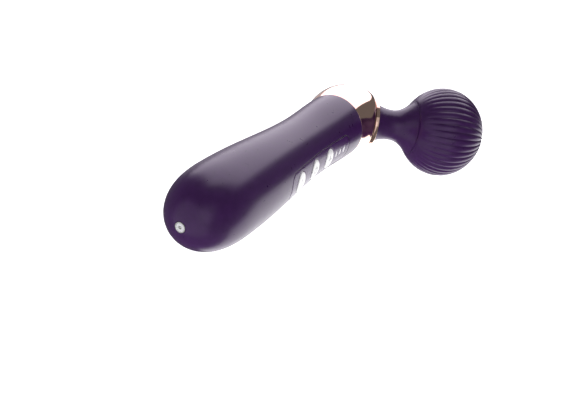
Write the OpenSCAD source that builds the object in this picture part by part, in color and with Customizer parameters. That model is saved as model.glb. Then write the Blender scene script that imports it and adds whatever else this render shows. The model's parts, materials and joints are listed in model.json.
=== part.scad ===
// Handheld wand massager with a bulbous handle, an angled flexible neck and a ribbed round head.
// The handle lies along +X with its rear pole at the origin. The head bends towards -Y, and the
// panel faces -Y. The pieces are drawn with Z = 0 as their plane of symmetry, and then rolled a
// little about X, so that the collar and the head lie on a level surface.

/* [Rest] */
// Roll about the handle that lays the wand on its collar and its head
rest_roll = 6.2; // [6:0.05:6.4]

/* [Handle] */
// Length of the handle from its rear pole to the collar
handle_l = 146; // [143:0.5:148]
// Largest radius of the handle, on the rear bulb
bulb_r = 19.2; // [19:0.1:19.6]
// Length of the rounded rear end
bulb_l = 36; // [35:0.5:37]
// Radius of the waist
waist_r = 16.4; // [16.3:0.05:16.6]
// Distance of the waist from the rear pole
waist_x = 107; // [105:0.5:109]
// Radius at the collar
front_r = 17.8; // [17.7:0.05:17.9]
// Thickness of the soft skin
skin_t = 1.8; // [1.7:0.05:1.8]
// Thickness of the hard shells under the skin
shell_t = 1.6; // [1.4:0.1:1.6]

/* [Head] */
// Angle between the head's axis and the handle
head_angle = 55; // [54:0.5:56]
// Centre of the head along the handle
head_x = 195.95; // [195:0.05:197]
// Centre of the head to the side of the handle
head_y = -47.75; // [-48.5:0.05:-47]
// Radius of the head across its axis
head_r = 25.4; // [24.8:0.1:25.5]
// Half the length of the head along its axis
head_a = 23.6; // [23:0.1:23.6]
// Distance of the parting line from the head's centre, towards the neck
parting_w = 18.85; // [18.8:0.05:19]
// Thickness of the soft cap on the head
cap_t = 2.5; // [2.4:0.1:2.6]

/* [Collar and neck] */
// Radius of the collar's front rim
rim_r = 13.45; // [13.3:0.05:13.6]
// Distance of the collar's front rim from the head's centre
rim_t = 44.5; // [44.4:0.05:44.6]
// How far the collar's shoulder bulges outwards
shoulder = 2.2; // [1.8:0.1:2.3]
// Width of the groove in front of the collar
groove_w = 0.8; // [0.7:0.05:0.9]
// Width of the ring at the foot of the neck
ring_w = 2.1; // [2:0.05:2.2]
// Radius of the neck at its foot
neck_foot_r = 11.1; // [10.9:0.05:11.2]
// Smallest radius of the neck
neck_min_r = 8.6; // [8.6:0.05:8.8]
// Distance of the neck's narrowest place from the head's centre
neck_min_t = 31; // [31:0.1:31.6]
// Distance of the lower flex centre from the head's centre
bend_t = 37.5; // [37.4:0.05:37.6]
// Distance of the upper flex centre from the head's centre
sway_t = 30; // [29.9:0.05:30.1]

/* [Control panel] */
// Rear end of the panel
panel_x0 = 63.5; // [63:0.1:64]
// Front end of the panel
panel_x1 = 130.3; // [130:0.1:130.5]
// Half the panel's width
panel_hw = 7.2; // [7:0.1:7.4]
// Radius of the panel's corners
panel_corner = 5; // [4:0.5:6]
// Gap around the panel
panel_gap = 0.35; // [0.2:0.05:0.4]
// Place of the first button along the handle
button_x0 = 74.2; // [74:0.1:74.5]
// Distance between buttons
button_pitch = 16.8; // [16.6:0.1:17]
// Width of a button along the handle
button_w = 8.6; // [8:0.1:9]
// Length of a button across the handle
button_l = 11; // [10.5:0.1:11.2]
// Travel of a button
button_travel = 0.6; // [0.4:0.05:0.6]
// Place of the first light along the handle
light_x0 = 116.2; // [116:0.1:116.5]
// Distance between lights
light_pitch = 4.2; // [4:0.1:4.3]

/* [Inside] */
// Radius of the battery cell
cell_r = 9; // [8.8:0.05:9]
// Length of the battery cell
cell_l = 65; // [64:0.5:65]
// Radius of the motor can
can_r = 10; // [9.8:0.1:10]
// Radius of the motor shaft
shaft_r = 1; // [0.9:0.05:1]

/* [Hidden] */
$fn = 96;
eps = 0.01;
clearance = 0.1;
// layers of the handle, counted inwards from its outer surface
shell_out = skin_t + clearance;
shell_in = shell_out + shell_t;
spigot_end = handle_l + 4;
split_y = 0;
// charging contact in the rear pole
port_r = 2.45;
contact_l = 3.25;
lead_y = -8;
socket_r = 4.5;
// battery and board
cell_x = 20;
cell_y = 3;
board_top = -7.4;
board_t = 1.2;
board_under = board_top - board_t;
board_x0 = 66;
board_x1 = 130;
board_hw = 7.5;
// buttons
button_proud = 0.5;
button_depth = 1.15;
stem_r = 1.5;
stem_hole_r = 1.8;
plunger_r = 0.9;
plunger_tip = -11.9;
plunger_foot = -10.3;
switch_h = 2.4;
switch_w = 5;
// lights
light_w = 1.5;
light_l = 3.6;
light_foot = -10.6;
// screws
screw_sites = [[14, 8.4], [134, 8.6]];
boss_r = 2.4;
screw_r = 0.95;
screw_seat = 7.2;
board_screw_x = [82.6, 99.4];
// neck
neck_t0 = rim_t - groove_w - ring_w;
nose_r = 8.3;
nose_t = 38.5;
core_r = 4.6;
core_hl = 4.6;
core_stem_r = 3.9;
cup_r = 4.9;
cup_hl = 4.9;
lead_bore_r = 1.6;
elbow_t = -head_y / sin(head_angle);
elbow_x = head_x - elbow_t * cos(head_angle);
sleeve_in_r = 6.9;
spigot_r = 6.8;
spigot_t = 29;
// head
inner_r = head_r - cap_t - clearance;
inner_a = head_a - cap_t - clearance;
cavity_r = inner_r - 1.8;
cavity_a = inner_a - 1.8;
post_ring_r = 16;
cradle_w = -5;
cradle_t = 2;
// motor, along the head's axis
can_w0 = -15;
can_w1 = 5;
can_wall = 0.8;
bush_w1 = 7;
weight_w0 = 7.6;
weight_w1 = 13.6;
weight_r = 9;

// ---- placing ----

// the finished wand, rolled as it lies on a level surface
module at_rest() {
    rotate([-rest_roll, 0, 0]) children();
}

// local Z along the handle
module along_handle() {
    rotate([0, 90, 0]) children();
}

// local Z along the head's axis, from the centre of the head
module along_head() {
    translate([head_x, head_y, 0]) rotate([0, 0, -head_angle]) rotate([0, 90, 0]) children();
}

// local Z inwards through the panel, from outside the handle
module into_panel(x = 0, y = -bulb_r - 2) {
    translate([x, y, 0]) rotate([-90, 0, 0]) children();
}

// ---- outlines ----

// radius of the handle at a distance from its rear pole
function handle_radius(x) =
    x < bulb_l ? bulb_r * sqrt(1 - pow(1 - x / bulb_l, 3))
    : x < waist_x ? waist_r + (bulb_r - waist_r) * (1 + cos(180 * (x - bulb_l) / (waist_x - bulb_l))) / 2
    : waist_r + (front_r - waist_r)
        * (1 - cos(180 * (min(x, handle_l) - waist_x) / (handle_l - waist_x))) / 2;

// radius of a layer a depth t inside the handle's surface
function layer_radius(x, t) =
    x >= bulb_l ? handle_radius(x) - t
    : (bulb_r - t) * sqrt(1 - pow(1 - max(0, x - t) / (bulb_l - t), 3));

// outline of a layer from the rear pole to x1
function layer_outline(t, x1, round_steps = 16, long_steps = 26) = concat(
    [for (i = [0:round_steps - 1])
        let (x = t + (bulb_l - t) * (1 - cos(90 * i / round_steps)))
        [layer_radius(x, t), x]],
    [for (i = [0:long_steps])
        let (x = bulb_l + (x1 - bulb_l) * i / long_steps)
        [layer_radius(x, t), x]]
);

// outline of a layer between x0 and x1 only
function layer_piece(t, x0, x1, steps) =
    [for (i = [0:steps]) let (x = x0 + (x1 - x0) * i / steps) [layer_radius(x, t), x]];

function backwards(list) = [for (i = [len(list) - 1:-1:0]) list[i]];

// an oval's outline, w along X and l along Y
function oval(w, l, steps = 40) =
    [for (i = [0:steps - 1]) [w / 2 * cos(360 * i / steps), l / 2 * sin(360 * i / steps)]];

// a rectangle with round corners, from x0 to x1 and hw to each side
function round_box(x0, x1, hw, r, steps = 8) =
    [for (c = [0:3], i = [0:steps])
        let (
            a = 90 * c + 90 * i / steps,
            cx = c == 0 || c == 3 ? x1 - r : x0 + r,
            cy = c < 2 ? hw - r : r - hw
        )
        [cx + r * cos(a), cy + r * sin(a)]];

// part of an ellipse about the head's axis, from w0 to w1
function ellipse_arc(r, a, w0, w1, steps) =
    [for (i = [0:steps])
        let (s0 = asin(w0 / a), s1 = asin(w1 / a), s = s0 + (s1 - s0) * i / steps)
        [r * cos(s), a * sin(s)]];

// radius of the neck a distance t behind the head's centre
function neck_radius(t) =
    t > neck_min_t
    ? neck_min_r + (neck_foot_r - neck_min_r) * pow((t - neck_min_t) / (neck_t0 - neck_min_t), 2)
    : let (
        span = neck_min_t - parting_w,
        s = (neck_min_t - t) / span,
        end_r = head_r * sqrt(1 - pow(parting_w / head_a, 2)),
        end_slope = 1.15
    )
    neck_min_r + (end_r - neck_min_r) * (3 * s * s - 2 * s * s * s)
        + end_slope * span * (s * s * s - s * s);

// ---- solids that several pieces share ----

// everything inside the handle deeper than t, up to x1
module handle_solid(t, x1) {
    along_handle() rotate_extrude() polygon(concat([[0, x1]], layer_outline(t, x1)));
}

// the wall between two depths of the handle, up to x1
module handle_wall(t0, t1, x1) {
    along_handle() rotate_extrude()
        polygon(concat(layer_outline(t0, x1), backwards(layer_outline(t1, x1))));
}

// a short stretch of that wall
module wall_piece(t0, t1, x0, x1, steps = 6) {
    along_handle() rotate_extrude()
        polygon(concat(layer_piece(t0, x0, x1, steps), backwards(layer_piece(t1, x0, x1, steps))));
}

// a tube or disc about the local Z axis
module tube(r1, r0, z0, z1) {
    translate([0, 0, z0]) difference() {
        cylinder(r = r1, h = z1 - z0);
        translate([0, 0, -1]) cylinder(r = r0, h = z1 - z0 + 2);
    }
}

module disc(r, z0, z1) {
    translate([0, 0, z0]) cylinder(r = r, h = z1 - z0);
}

// a bar of round section from a to b, a little long at both ends so that bars in a row join
module wire(a, b, r) {
    d = b - a;
    over = 0.3 * r;
    translate(a - over * d / norm(d))
        rotate([0, acos(d[2] / norm(d)), atan2(d[1], d[0])])
            cylinder(r = r, h = norm(d) + 2 * over, $fn = 24);
}

// wires that follow a list of points
module wires(points, r = 0.5) {
    for (i = [0:len(points) - 2]) wire(points[i], points[i + 1], r);
}

// ---- handle: skin and shells ----

module handle_skin() {
    color("#2e1a45") at_rest() difference() {
        handle_wall(0, skin_t, handle_l);
        along_handle() disc(port_r, -1, skin_t + 1);
        into_panel() linear_extrude(bulb_r)
            polygon(round_box(panel_x0, panel_x1, panel_hw, panel_corner));
    }
}

// bosses for the shell screws, trimmed to the inside of the handle
module shell_bosses(from_y, to_y) {
    intersection() {
        handle_solid(shell_out + 0.3, spigot_end);
        for (site = screw_sites, side = [-1, 1])
            translate([site[0], from_y, side * site[1]]) rotate([-90, 0, 0])
                cylinder(r = boss_r, h = to_y - from_y);
    }
}

module back_shell() {
    color("#3a3a42") at_rest() difference() {
        union() {
            intersection() {
                handle_wall(shell_out, shell_in, spigot_end);
                translate([0, split_y, -30]) cube([160, 30, 60]);
            }
            shell_bosses(split_y, 20);
        }
        along_handle() disc(socket_r + 0.05, -1, 8);
        for (site = screw_sites, side = [-1, 1])
            translate([site[0], -1, side * site[1]]) rotate([-90, 0, 0]) {
                cylinder(r = screw_r + 0.1, h = 20);
                translate([0, 0, 1 + screw_seat]) cylinder(r = 1.9, h = 20);
            }
    }
}

module panel_shell() {
    color("#3a3a42") at_rest() difference() {
        union() {
            intersection() {
                handle_wall(shell_out, shell_in, spigot_end);
                translate([0, split_y - 30, -30]) cube([160, 30, 60]);
            }
            shell_bosses(-20, split_y);
            intersection() {
                handle_solid(shell_out + 0.3, spigot_end);
                for (x = board_screw_x)
                    into_panel(x) cylinder(r = 1.7, h = bulb_r + 2 + board_under);
            }
        }
        along_handle() disc(socket_r + 0.05, -1, 8);
        for (site = screw_sites, side = [-1, 1])
            translate([site[0], -8, side * site[1]]) rotate([-90, 0, 0])
                cylinder(r = screw_r + 0.02, h = 20);
        for (x = board_screw_x)
            translate([x, -11.4, 0]) rotate([-90, 0, 0]) cylinder(r = 0.82, h = 5);
        for (i = [0:2]) into_panel(button_x0 + i * button_pitch) cylinder(r = stem_hole_r, h = 12);
        for (i = [0:2]) into_panel(light_x0 + i * light_pitch)
            linear_extrude(12) square([light_w + 0.2, light_l + 0.2], center = true);
    }
}

module shell_screws() {
    color("#b8b8bc") at_rest() for (site = screw_sites, side = [-1, 1])
        translate([site[0], 0, side * site[1]]) rotate([-90, 0, 0]) {
            disc(screw_r, -6.5, screw_seat + 0.1);
            difference() {
                disc(1.75, screw_seat + eps, screw_seat + 1.3);
                translate([-1.2, -0.25, screw_seat + 0.8]) cube([2.4, 0.5, 1]);
                translate([-0.25, -1.2, screw_seat + 0.8]) cube([0.5, 2.4, 1]);
            }
        }
}

// ---- handle: control panel ----

module panel_insert() {
    color("#3d2b52") at_rest() difference() {
        intersection() {
            wall_piece(0, skin_t, panel_x0 - 2, panel_x1 + 2, 20);
            into_panel() linear_extrude(bulb_r) polygon(round_box(
                panel_x0 + panel_gap, panel_x1 - panel_gap, panel_hw - panel_gap,
                panel_corner - panel_gap));
        }
        for (i = [0:2]) into_panel(button_x0 + i * button_pitch)
            linear_extrude(12) polygon(oval(button_w + 0.5, button_l + 0.5));
        for (i = [0:2]) into_panel(light_x0 + i * light_pitch)
            linear_extrude(12) square([light_w + 0.1, light_l + 0.1], center = true);
    }
}

module button(i) {
    x = button_x0 + i * button_pitch;
    inside_r = layer_radius(x, shell_in);
    color("#f2f2f4") at_rest() union() {
        intersection() {
            wall_piece(-button_proud, button_depth, x - 7, x + 7);
            into_panel(x) linear_extrude(12) polygon(oval(button_w, button_l));
        }
        into_panel(x, -handle_radius(x) + 0.4)
            cylinder(r = stem_r, h = handle_radius(x) - 0.4 + plunger_tip - 0.05);
        into_panel(x, -inside_r + 0.4) cylinder(r = 2.3, h = 0.6);
    }
}

module plunger(i) {
    color("#2b2b2e") at_rest() into_panel(button_x0 + i * button_pitch, plunger_tip)
        cylinder(r = plunger_r, h = plunger_foot - plunger_tip);
}

module button_rear() {
    button(0);
}

module button_middle() {
    button(1);
}

module button_front() {
    button(2);
}

module plunger_rear() {
    plunger(0);
}

module plunger_middle() {
    plunger(1);
}

module plunger_front() {
    plunger(2);
}

module switch_housings() {
    color("#9a9aa0") at_rest() for (i = [0:2]) into_panel(button_x0 + i * button_pitch, board_under)
        difference() {
            translate([-switch_w / 2, -switch_w / 2, -switch_h]) cube([switch_w, switch_w, switch_h]);
            translate([0, 0, -switch_h - 1]) cylinder(r = plunger_r + 0.05, h = switch_h + 0.7);
        }
}

module light_guide() {
    color("#ffffff") at_rest() union() {
        intersection() {
            wall_piece(0, 12, light_x0 - 3, light_x0 + 2 * light_pitch + 3, 4);
            for (i = [0:2]) into_panel(light_x0 + i * light_pitch)
                linear_extrude(bulb_r + 2 + light_foot) square([light_w, light_l], center = true);
        }
        translate([light_x0 - 1.5, light_foot - 1, -light_l / 2])
            cube([2 * light_pitch + 3, 1, light_l]);
    }
}

module light_chips() {
    color("#f4f0c8") at_rest() for (i = [0:2])
        translate([light_x0 + i * light_pitch - 0.8, board_under - 0.8, -0.8]) cube([1.6, 0.8, 1.6]);
}

// ---- handle: board and battery ----

module main_board() {
    color("#1e5a34") at_rest() difference() {
        translate([board_x0, board_under, -board_hw])
            cube([board_x1 - board_x0, board_t, 2 * board_hw]);
        for (x = board_screw_x)
            translate([x, -10, 0]) rotate([-90, 0, 0]) cylinder(r = 1, h = 5);
    }
}

module board_screws() {
    color("#b8b8bc") at_rest() for (x = board_screw_x) translate([x, 0, 0]) rotate([-90, 0, 0]) {
        disc(0.8, -11.2, board_top + 0.1);
        disc(1.5, board_top, board_top + 0.8);
    }
}

module board_chips() {
    color("#1a1a1c") at_rest() {
        translate([88, board_under - 1, -6.4]) cube([5, 1, 3]);
        translate([104, board_under - 1, 3.6]) cube([4, 1, 3]);
        translate([110, board_top, -3]) cube([6, 1, 6]);
        translate([119, board_top, -2.5]) cube([4, 1.4, 5]);
    }
}

module battery_cell() {
    color("#2f6fb0") at_rest() translate([cell_x, cell_y, 0]) along_handle() cylinder(r = cell_r, h = cell_l);
}

module battery_tabs() {
    color("#c9c9cc") at_rest() for (x = [cell_x - 0.3, cell_x + cell_l])
        translate([x, cell_y - 6, -2]) cube([0.3, 10, 4]);
}

module battery_cradle() {
    color("#5a5a60") at_rest() difference() {
        intersection() {
            handle_solid(shell_in + 0.05, 80);
            union() {
                for (x = [30, 70]) translate([x, -6, -30]) cube([4, 40, 60]);
                for (side = [-1, 1]) translate([30, cell_y - 2, side * 11.1 - 1]) cube([44, 4, 2]);
            }
        }
        translate([0, cell_y, 0]) along_handle() cylinder(r = cell_r + 0.03, h = 90);
    }
}

// ---- handle: charging contact ----

module charge_ring() {
    color("#e6e6ea") at_rest() along_handle() tube(port_r - 0.05, port_r - 0.45, 0, contact_l);
}

module charge_insulator() {
    color("#d2d2d8") at_rest() along_handle() tube(port_r - 0.46, 0.7, 0.06, contact_l);
}

module charge_pin() {
    color("#d8d8dc") at_rest() along_handle() disc(0.69, 0, 12.5);
}

module charge_socket() {
    color("#2a2a2e") at_rest() along_handle() tube(socket_r, 0.72, contact_l + 0.05, 11);
}

module charge_seal() {
    color("#141416") at_rest() along_handle() tube(port_r + 1.6, port_r, contact_l - 0.6, contact_l);
}

module charge_leads() {
    color("#a02020") at_rest() for (side = [-1, 1]) translate([0, 0, side * 1.2]) {
        translate([11.7, lead_y - 0.8, 0]) rotate([-90, 0, 0]) cylinder(r = 0.65, h = -lead_y - 1.2);
        translate([11.7, lead_y, 0]) along_handle() cylinder(r = 0.5, h = 54.1);
    }
}

module board_leads() {
    color("#a02020") at_rest() for (side = [-1, 1]) wires([
        [130.8, -8, side * 0.7], [136, 0, side * 0.7], [elbow_x - 1, 0, side * 0.7]
    ]);
}

// ---- collar and neck ----

// discs along the bend from the handle's front to the collar's rim
module elbow_discs(inset, overrun, steps = 10) {
    span = norm([head_x - rim_t * cos(head_angle) - handle_l, head_y + rim_t * sin(head_angle)]);
    rim = [head_x - rim_t * cos(head_angle), head_y + rim_t * sin(head_angle)];
    reach = 0.34 * span;
    for (i = [-1:steps + 1]) {
        u = min(1, max(0, i / steps));
        extra = i < 0 ? -overrun : i > steps ? overrun : 0;
        a = head_angle * u;
        bow = shoulder * sin(180 * u);
        p0 = [handle_l + 0.05, 0];
        p1 = p0 + [reach, 0];
        p3 = rim;
        p2 = p3 - reach * [cos(head_angle), -sin(head_angle)];
        c = pow(1 - u, 3) * p0 + 3 * u * pow(1 - u, 2) * p1 + 3 * u * u * (1 - u) * p2 + pow(u, 3) * p3
            + bow * [sin(a), cos(a)] + extra * [cos(a), -sin(a)];
        r = rim_r + (front_r - rim_r) * pow(1 - pow(u, 3.3), 1 / 3.3) + bow - inset;
        translate([c[0], c[1], 0]) rotate([0, 0, -a]) rotate([0, 90, 0])
            cylinder(r = r, h = 0.01, $fn = 60);
    }
}

module collar() {
    color("#c98f76") at_rest() difference() {
        hull() elbow_discs(0, 0);
        hull() elbow_discs(1.2, 0.6);
    }
}

module neck_anchor() {
    color("#4a4a50") at_rest() difference() {
        union() {
            along_handle() disc(13.9, 138, 151);
            along_handle() disc(13.3, 150, 158);
            along_head() disc(11.4, -62, -46);
            along_head() disc(12.1, -46.5, -rim_t - 0.05);
            along_head() disc(nose_r, -rim_t - 1, -nose_t);
        }
        along_handle() disc(lead_bore_r, 130, elbow_x + 1);
        along_head() disc(lead_bore_r, -elbow_t - 1, -30);
        along_head() bend_barrel(cup_r, cup_hl);
    }
}

module groove_seal() {
    color("#101012") at_rest() along_head() tube(rim_r - 0.6, nose_r + 0.02, -rim_t + 0.02, -rim_t + groove_w);
}

module neck_ring() {
    color("#c98f76") at_rest() along_head() rotate_extrude() polygon([
        [nose_r + 0.02, -rim_t + groove_w],
        [rim_r - 0.25, -rim_t + groove_w],
        [rim_r, -rim_t + groove_w + 0.25],
        [rim_r, -neck_t0 - 0.35],
        [rim_r - 0.35, -neck_t0],
        [nose_r + 0.02, -neck_t0]
    ]);
}

// barrel of the lower hinge, square to the plane of symmetry
module bend_barrel(r, half) {
    translate([-half, 0, -bend_t]) rotate([0, 90, 0]) cylinder(r = r, h = 2 * half);
}

// barrel of the upper hinge, in the plane of symmetry
module sway_barrel(r, half) {
    translate([0, -half, -sway_t]) rotate([-90, 0, 0]) cylinder(r = r, h = 2 * half);
}

module neck_core() {
    color("#6b6b70") at_rest() along_head() difference() {
        union() {
            disc(core_stem_r, -bend_t, -sway_t);
            bend_barrel(core_r, core_hl);
            sway_barrel(core_r, core_hl);
        }
        disc(lead_bore_r, -bend_t - core_r - 1, -sway_t + core_r + 1);
    }
}

module neck_leads() {
    color("#a02020") at_rest() along_head() for (side = [-1, 1])
        translate([side * 0.7, 0, 0]) disc(0.5, -elbow_t + 1, can_w0 - 1.3);
}

module neck_sleeve() {
    steps = 22;
    hollow_r = head_r - cap_t;
    hollow_a = head_a - cap_t;
    color("#2e1a45") at_rest() along_head() rotate_extrude() polygon(concat(
        [[nose_r + 0.05, -neck_t0 + 0.03]],
        [for (i = [0:steps])
            let (t = neck_t0 - 0.03 + (parting_w - neck_t0 + 0.03) * i / steps) [neck_radius(t), -t]],
        backwards(ellipse_arc(hollow_r, hollow_a,
            -hollow_a * sqrt(1 - pow(sleeve_in_r / hollow_r, 2)), -parting_w, 4)),
        [[sleeve_in_r, -nose_t + 0.3], [nose_r + 0.05, -nose_t + 0.3]]
    ));
}

// ---- head ----

// wall of one half of the head's hard shell, from w0 to w1
module head_half(w0, w1) {
    inner0 = max(w0, -cavity_a);
    inner1 = min(w1, cavity_a);
    rotate_extrude() polygon(concat(
        ellipse_arc(inner_r, inner_a, w0, w1, 14),
        backwards(ellipse_arc(cavity_r, cavity_a, inner0, inner1, 14))
    ));
}

module head_posts() {
    intersection() {
        rotate_extrude() polygon(concat([[0, 0]], ellipse_arc(inner_r - 0.4, inner_a - 0.4,
            -inner_a + 0.4, 0, 12)));
        for (i = [0:2]) rotate([0, 0, 120 * i]) translate([post_ring_r, 0, -20])
            cylinder(r = 2.3, h = 20 + cradle_w);
    }
}

module head_rear_shell() {
    color("#4a4a50") at_rest() along_head() difference() {
        union() {
            head_half(-inner_a, 0);
            head_posts();
            disc(spigot_r, -spigot_t, -cavity_a - 0.9);
        }
        disc(lead_bore_r, -spigot_t - 1, -cavity_a + 2);
        sway_barrel(cup_r, cup_hl);
        for (i = [0:2]) rotate([0, 0, 120 * i]) translate([post_ring_r, 0, -12])
            cylinder(r = 0.92, h = 10);
    }
}

module head_front_shell() {
    color("#4a4a50") at_rest() along_head() head_half(0, inner_a);
}

module head_cap() {
    skin_r = head_r - cap_t;
    skin_a = head_a - cap_t;
    color("#2e1a45") at_rest() along_head() rotate_extrude() polygon(concat(
        ellipse_arc(head_r, head_a, -parting_w + 0.1, head_a, 36),
        backwards(ellipse_arc(skin_r, skin_a, -parting_w + 0.1, skin_a, 30))
    ));
}

module motor_cradle() {
    color("#5a5a60") at_rest() along_head() difference() {
        union() {
            disc(12.2, -12, cradle_w + cradle_t);
            disc(18.6, cradle_w, cradle_w + cradle_t);
        }
        disc(can_r + 0.02, -13, 10);
        for (i = [0:2]) rotate([0, 0, 120 * i]) translate([post_ring_r, 0, cradle_w - 1])
            cylinder(r = 1.05, h = cradle_t + 2);
    }
}

module head_screws() {
    color("#b8b8bc") at_rest() along_head() for (i = [0:2])
        rotate([0, 0, 120 * i]) translate([post_ring_r, 0, 0]) {
            disc(0.9, -11.5, cradle_w + cradle_t + 0.1);
            disc(1.8, cradle_w + cradle_t, cradle_w + cradle_t + 1.2);
        }
}

// ---- motor ----

module motor_can() {
    color("#c2c2c8") at_rest() along_head() difference() {
        disc(can_r, can_w0, can_w1);
        disc(can_r - can_wall, can_w0 - 1, can_w1 - can_wall);
        disc(3.05, can_w1 - 2, can_w1 + 1);
    }
}

module motor_magnets() {
    color("#3c3c40") at_rest() along_head() tube(can_r - can_wall - 0.02, 7.4, -11.5, 2.5);
}

module motor_end_cap() {
    color("#e4dcc8") at_rest() along_head() difference() {
        union() {
            disc(can_r - can_wall - 0.02, can_w0 + 0.1, can_w0 + 2);
            disc(3.2, can_w0 - 1, can_w0 + 0.5);
        }
        disc(shaft_r + 0.05, can_w0 + 0.2, can_w0 + 3);
    }
}

module motor_bush() {
    color("#c8a24a") at_rest() along_head() tube(3.03, shaft_r + 0.04, can_w1 - 1.5, bush_w1);
}

module motor_shaft() {
    color("#d8d8dc") at_rest() along_head() disc(shaft_r, can_w0 + 0.5, weight_w1 + 0.6);
}

module motor_armature() {
    color("#9c5a34") at_rest() along_head() union() {
        tube(7.05, shaft_r, -10.5, 1.5);
        tube(2.6, shaft_r, -12.4, -10.4);
    }
}

module eccentric_weight() {
    color("#8c8c92") at_rest() along_head() difference() {
        union() {
            difference() {
                disc(weight_r, weight_w0, weight_w1);
                translate([-20, 0, weight_w0 - 1]) cube([40, 20, 10]);
            }
            disc(2.6, weight_w0, weight_w1);
        }
        disc(shaft_r, weight_w0 - 1, weight_w1 + 1);
    }
}

handle_skin();
back_shell();
panel_shell();
shell_screws();
panel_insert();
charge_ring();
charge_insulator();
charge_pin();
charge_socket();
charge_seal();
charge_leads();
battery_cell();
battery_cradle();
battery_tabs();
main_board();
board_screws();
board_chips();
switch_housings();
button_rear();
plunger_rear();
button_middle();
plunger_middle();
button_front();
plunger_front();
light_guide();
light_chips();
board_leads();
collar();
neck_anchor();
groove_seal();
neck_ring();
neck_core();
neck_leads();
neck_sleeve();
head_rear_shell();
head_front_shell();
head_screws();
head_cap();
motor_cradle();
motor_can();
motor_magnets();
motor_end_cap();
motor_bush();
motor_shaft();
motor_armature();
eccentric_weight();
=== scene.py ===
"""Looks of a handheld wand massager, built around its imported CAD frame. Lengths are in millimetres until
to_row() turns them into metres in the row frame."""
import json
from math import acos, asin, atan2, cos, hypot, pi, radians, sin, sqrt

import bmesh
import bpy
from mathutils import Matrix, Quaternion, Vector
from mathutils.geometry import delaunay_2d_cdt


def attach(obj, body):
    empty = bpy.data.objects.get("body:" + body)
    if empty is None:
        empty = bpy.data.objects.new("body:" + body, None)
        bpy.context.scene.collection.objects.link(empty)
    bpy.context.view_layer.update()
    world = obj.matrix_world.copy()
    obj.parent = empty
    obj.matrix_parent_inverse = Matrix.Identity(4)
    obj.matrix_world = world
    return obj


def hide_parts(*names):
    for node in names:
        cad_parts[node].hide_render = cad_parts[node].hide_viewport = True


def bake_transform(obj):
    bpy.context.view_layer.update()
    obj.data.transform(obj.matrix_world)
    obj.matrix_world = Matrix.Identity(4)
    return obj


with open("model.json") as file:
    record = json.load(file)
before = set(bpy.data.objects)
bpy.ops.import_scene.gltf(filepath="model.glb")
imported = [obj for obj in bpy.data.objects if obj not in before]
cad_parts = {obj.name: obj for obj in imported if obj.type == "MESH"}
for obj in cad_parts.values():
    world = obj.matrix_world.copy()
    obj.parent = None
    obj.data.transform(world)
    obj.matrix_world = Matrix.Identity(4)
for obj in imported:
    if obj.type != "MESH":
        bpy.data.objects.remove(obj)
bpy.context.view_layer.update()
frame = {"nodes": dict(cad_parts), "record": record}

# ---------------------------------------------------------------- sizes shared with the CAD, mm and degrees

REST_ROLL = 6.2
HANDLE_L = 146.0
BULB_R, BULB_L = 19.2, 36.0
WAIST_R, WAIST_X = 16.4, 107.0
FRONT_R = 17.8
SKIN_T, SHELL_IN, CLEARANCE = 1.8, 3.5, 0.1
PORT_R = 2.45

HEAD_ANGLE = 55.0
HEAD_CENTRE = (195.95, -47.75)
HEAD_R, HEAD_A = 25.38, 23.58
PARTING_W = 18.85
CAP_T, CAP_EDGE_T = 2.5, 2.4

RIM_R, RIM_T = 13.45, 44.5
SHOULDER = 2.2
GROOVE_W, RING_W = 0.8, 2.1
NECK_FOOT_T = RIM_T - GROOVE_W - RING_W
NECK_FOOT_R, NECK_MIN_R, NECK_MIN_T = 11.1, 8.6, 31.0
NECK_END_SLOPE = 1.15
NOSE_R = 8.3

PANEL_X0, PANEL_X1, PANEL_HW, PANEL_CORNER, PANEL_GAP = 63.5, 130.3, 7.2, 5.0, 0.35
BUTTON_X0, BUTTON_PITCH, BUTTON_W, BUTTON_L = 74.2, 16.8, 8.0, 10.8
BUTTON_PROUD, BUTTON_DOME, BUTTON_DEPTH, BUTTON_LIP, BUTTON_GAP = 0.5, 0.12, 1.15, 0.32, 0.25
LIGHT_X0, LIGHT_PITCH, LIGHT_W, LIGHT_L = 116.2, 4.2, 1.5, 3.4
LIGHT_GAP, LIGHT_LIP, LIGHT_FOOT, LIGHT_BAR_Y = 0.05, 0.08, -10.6, -11.6


# ---------------------------------------------------------------- placing

def to_row(p):
    """A point drawn with Z = 0 as the plane of symmetry, in mm, as metres in the row frame."""
    a = radians(-REST_ROLL)
    x, y, z = p
    return Vector((x, y * cos(a) - z * sin(a), y * sin(a) + z * cos(a))) / 1000


HEAD_AXIS = (cos(radians(HEAD_ANGLE)), -sin(radians(HEAD_ANGLE)))
HEAD_SIDE = (sin(radians(HEAD_ANGLE)), cos(radians(HEAD_ANGLE)))


def head_point(w, r, turn):
    """The point w along the head's axis from its centre, r off that axis, turn radians about it."""
    side = r * cos(turn)
    return (HEAD_CENTRE[0] + w * HEAD_AXIS[0] + side * HEAD_SIDE[0],
            HEAD_CENTRE[1] + w * HEAD_AXIS[1] + side * HEAD_SIDE[1],
            r * sin(turn))


def handle_point(x, r, turn):
    """The point x along the handle, r off its axis; turn 0 is the middle of the panel."""
    return (x, -r * cos(turn), r * sin(turn))


def ease(t):
    return t * t * (3 - 2 * t)


# ---------------------------------------------------------------- outlines

def handle_radius(x):
    if x < BULB_L:
        return BULB_R * sqrt(max(0.0, 1 - (1 - x / BULB_L) ** 3))
    if x < WAIST_X:
        return WAIST_R + (BULB_R - WAIST_R) * (1 + cos(pi * (x - BULB_L) / (WAIST_X - BULB_L))) / 2
    x = min(x, HANDLE_L)
    return WAIST_R + (FRONT_R - WAIST_R) * (1 - cos(pi * (x - WAIST_X) / (HANDLE_L - WAIST_X))) / 2


def layer_radius(x, depth):
    if x >= BULB_L:
        return handle_radius(x) - depth
    return (BULB_R - depth) * sqrt(max(0.0, 1 - (1 - max(0.0, x - depth) / (BULB_L - depth)) ** 3))


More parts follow.
